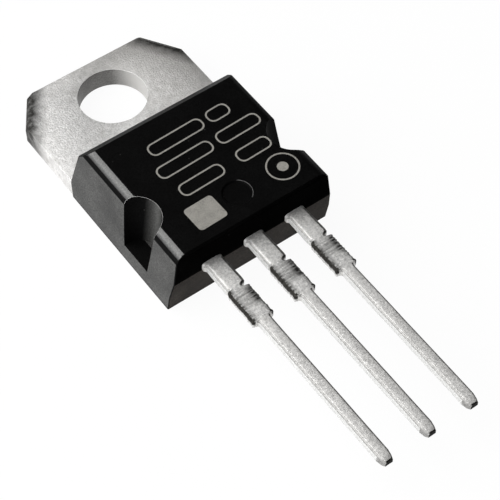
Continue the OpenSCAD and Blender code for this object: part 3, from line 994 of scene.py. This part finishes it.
def roundBar(x1, x2, y, height, low, high):
    return roundSlab("bar", (x1, y - height / 2, low), (x2, y + height / 2, high),
                     height * marks["barRound"], 6)


# A bar drawn in outline
def openBar(x1, x2, y):
    m, stroke = marks, marks["stroke"]
    bar = roundBar(x1, x2, y, m["barHeight"], m["low"], m["high"])
    combine(bar, roundBar(x1 + stroke, x2 - stroke, y, m["barHeight"] - 2 * stroke, m["low"] - over,
                          m["high"] + over))
    return bar


def buildMarks():
    m = marks
    height = m["high"] - m["low"]
    pieces = [openBar(x1, x2, y) for x1, x2, y in m["bars"]]
    x1, x2, y1, y2 = m["block"]
    pieces.append(roundSlab("slab", (x1, y1, m["low"]), (x2, y2, m["high"]), m["blockRound"], 4))
    x, y, radius = m["ring"]
    ring = addCone("ring", (x, y, m["low"]), height, radius, radius, 64)
    inner = radius - m["stroke"]
    combine(ring, addCone("inside", (x, y, m["low"] - over), 2 * over, inner, inner, 64))
    pieces += [ring, addCone("dot", (x, y, m["low"]), height, m["dot"], m["dot"], 32)]
    etched = joinPieces("etchedMarks", pieces)
    pickAll(etched)
    bpy.ops.transform.rotate(value=-m["turn"] * deg, orient_axis="Z",
                             center_override=metres((0, m["turnY"], 0)))
    toObjectMode()
    finishMesh(etched, m["smoothAngle"])
    etched.data.materials.append(buildEtching())
    return etched


etchedMarks = buildMarks()
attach(etchedMarks, "root")
print("marks made")

# The sealed pieces keep their CAD shape and get their own finish, which shows when the moulding is taken off
sealedLook = {"specular": 0.5, "harshness": 0.6, "depth": 0.003}
sealedLooks = {
    "diffusedSilicon": {"tones": ((0.16, 0.19, 0.26, 1), (0.10, 0.12, 0.18, 1)), "metallic": 0.3,
                        "grain": 0.3, "rough": (0.17, 0.33)},
    "softSolder": {"tones": ((0.5, 0.5, 0.52, 1), (0.36, 0.36, 0.38, 1)), "metallic": 0.9, "grain": 0.12,
                   "rough": (0.37, 0.53)},
    "drawnWire": {"tones": ((0.86, 0.87, 0.88, 1), (0.7, 0.71, 0.73, 1)), "metallic": 1.0, "grain": 0.06,
                  "rough": (0.22, 0.38)}}
sealedNodes = {"diffusedSilicon": ["regulator_die"], "softSolder": ["die_solder"],
               "drawnWire": ["adjust_wire", "input_wire_inner", "input_wire_outer", "output_wire"]}


def finishSealed():
    for name, nodes in sealedNodes.items():
        material = buildPlain(name, {**sealedLook, **sealedLooks[name]})
        for node in nodes:
            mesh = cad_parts[node].data
            mesh.materials.clear()
            mesh.materials.append(material)


finishSealed()
print("sealed pieces finished")

# A plain white floor, pale to the camera and in reflections, with the object's shadow kept
stage = {"size": 1200.0, "drop": 0.02, "tones": (grey(0.86), grey(0.84)), "grain": 4.0, "harshness": 0.5,
         "whiteShare": 0.95}


def buildFloor():
    clearSelection()
    bpy.ops.mesh.primitive_plane_add(size=stage["size"] * mm, location=(0, 0, -stage["drop"] * mm))
    floor = named("floor")
    material, tree, shader = newMaterial("paleFloor", Roughness=1.0, Specular_IOR_Level=0.0)
    grain = useGrain(tree, stage["grain"], stage["harshness"])
    tree.links.new(mixColour(tree, grain["Mask"], *stage["tones"]), shader.inputs["Base Color"])
    rays = addNode(tree, "ShaderNodeLightPath").outputs
    seen = maths(tree, "MAXIMUM", rays["Is Camera Ray"], rays["Is Glossy Ray"])
    seen = maths(tree, "MAXIMUM", seen, rays["Is Transmission Ray"])
    white = addNode(tree, "ShaderNodeEmission", {"Color": grey(1.0), "Strength": 1.0})
    mixed = addNode(tree, "ShaderNodeMixShader", {0: times(tree, seen, stage["whiteShare"]),
                                                  1: shader.outputs[0], 2: white.outputs[0]})
    tree.links.new(mixed.outputs[0], tree.nodes["Material Output"].inputs["Surface"])
    floor.data.materials.append(material)


buildFloor()

# Soft lamps round the object, and a dim room that is white to the camera
lamps = {"key": {"from": (-0.574, 0.470, 0.668), "distance": 190.0, "size": 210.0, "power": 0.49},
         "left": {"from": (-0.95, -0.15, 0.45), "distance": 200.0, "size": 180.0, "power": 0.30},
         "top": {"from": (-0.25, 0.25, 0.95), "distance": 240.0, "size": 150.0, "power": 0.10}}
lampAim = Vector((0, -11, 2))
roomLight = 0.12


def placeLamps():
    for name, lamp in lamps.items():
        data = bpy.data.lights.new(name, "AREA")
        data.shape = "SQUARE"
        data.size = lamp["size"] * mm
        data.energy = lamp["power"]
        holder = bpy.data.objects.new(name, data)
        bpy.context.scene.collection.objects.link(holder)
        direction = Vector(lamp["from"]).normalized()
        holder.location = (lampAim + direction * lamp["distance"]) * mm
        holder.rotation_mode = "QUATERNION"
        holder.rotation_quaternion = (-direction).to_track_quat("-Z", "Y")


def buildRoom():
    world = bpy.data.worlds.new("room")
    bpy.context.scene.world = world
    world.use_nodes = True
    tree = world.node_tree
    room = tree.nodes["Background"]
    room.inputs["Color"].default_value = grey(1.0)
    room.inputs["Strength"].default_value = roomLight
    white = addNode(tree, "ShaderNodeBackground", {"Color": grey(1.0), "Strength": 1.0})
    rays = addNode(tree, "ShaderNodeLightPath")
    mixed = addNode(tree, "ShaderNodeMixShader", {0: rays.outputs["Is Camera Ray"], 1: room.outputs[0],
                                                  2: white.outputs[0]})
    tree.links.new(mixed.outputs[0], tree.nodes["World Output"].inputs["Surface"])


placeLamps()
buildRoom()
bpy.context.scene.view_settings.view_transform = "Standard"
print("lamps and room made")
